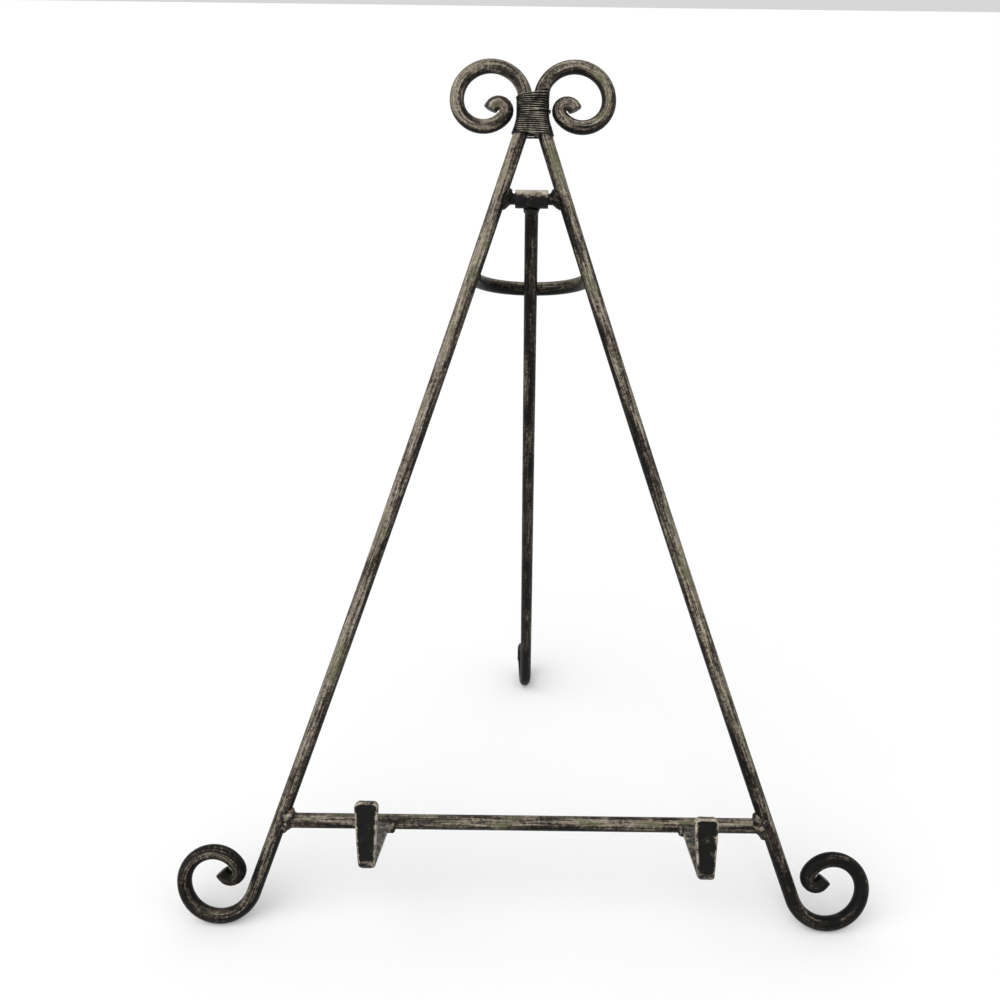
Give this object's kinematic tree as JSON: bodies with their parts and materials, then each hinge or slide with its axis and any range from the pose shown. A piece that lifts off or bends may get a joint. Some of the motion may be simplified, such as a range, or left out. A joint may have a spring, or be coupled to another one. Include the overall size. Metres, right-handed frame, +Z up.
{
  "type": "tabletop easel",
  "caption": "Folding tabletop display easel of bent round iron rod: scrolled A-frame bound with wire at the apex, crossbar with flared ledge lips, and a hinged back leg.",
  "frame": {"origin": "on the floor, at the bottom centre of the bounding box of the easel standing open", "axes": "+Z up; +Y out of the easel's back, toward the back leg; -Y the front, where the ledge lips face; +X to the right as seen from the front"},
  "size_m": [0.3026, 0.2187, 0.3527],
  "materials": {
    "bronzed_iron": "black iron rubbed with antique bronze",
    "dark_iron": "near-black iron, worn bright at the edges",
    "weld": "lumpy blackened weld filler",
    "wire": "dark annealed iron wire"
  },
  "bodies": {
    "frame": {"left_side_rod": "bronzed_iron", "right_side_rod": "bronzed_iron", "binding_wire": "wire", "hinge_pin": "dark_iron", "leg_stop_bow": "bronzed_iron", "ledge_crossbar": "bronzed_iron", "left_ledge_lip": "dark_iron", "right_ledge_lip": "dark_iron", "hinge_pin_weld_left": "weld", "hinge_pin_weld_right": "weld", "bow_weld_left": "weld", "bow_weld_right": "weld", "crossbar_weld_left": "weld", "crossbar_weld_right": "weld", "lip_weld_left": "weld", "lip_weld_right": "weld"},
    "leg": {"back_leg": "bronzed_iron", "hinge_sleeve": "bronzed_iron", "leg_weld": "weld"}
  },
  "joints": [
    {"name": "leg_hinge", "type": "hinge", "parent": "frame", "child": "leg", "pos_m": [0, 0.03731, 0.29565], "axis": [1, 0, 0], "range_deg": [-30.6, 0]}
  ]
}
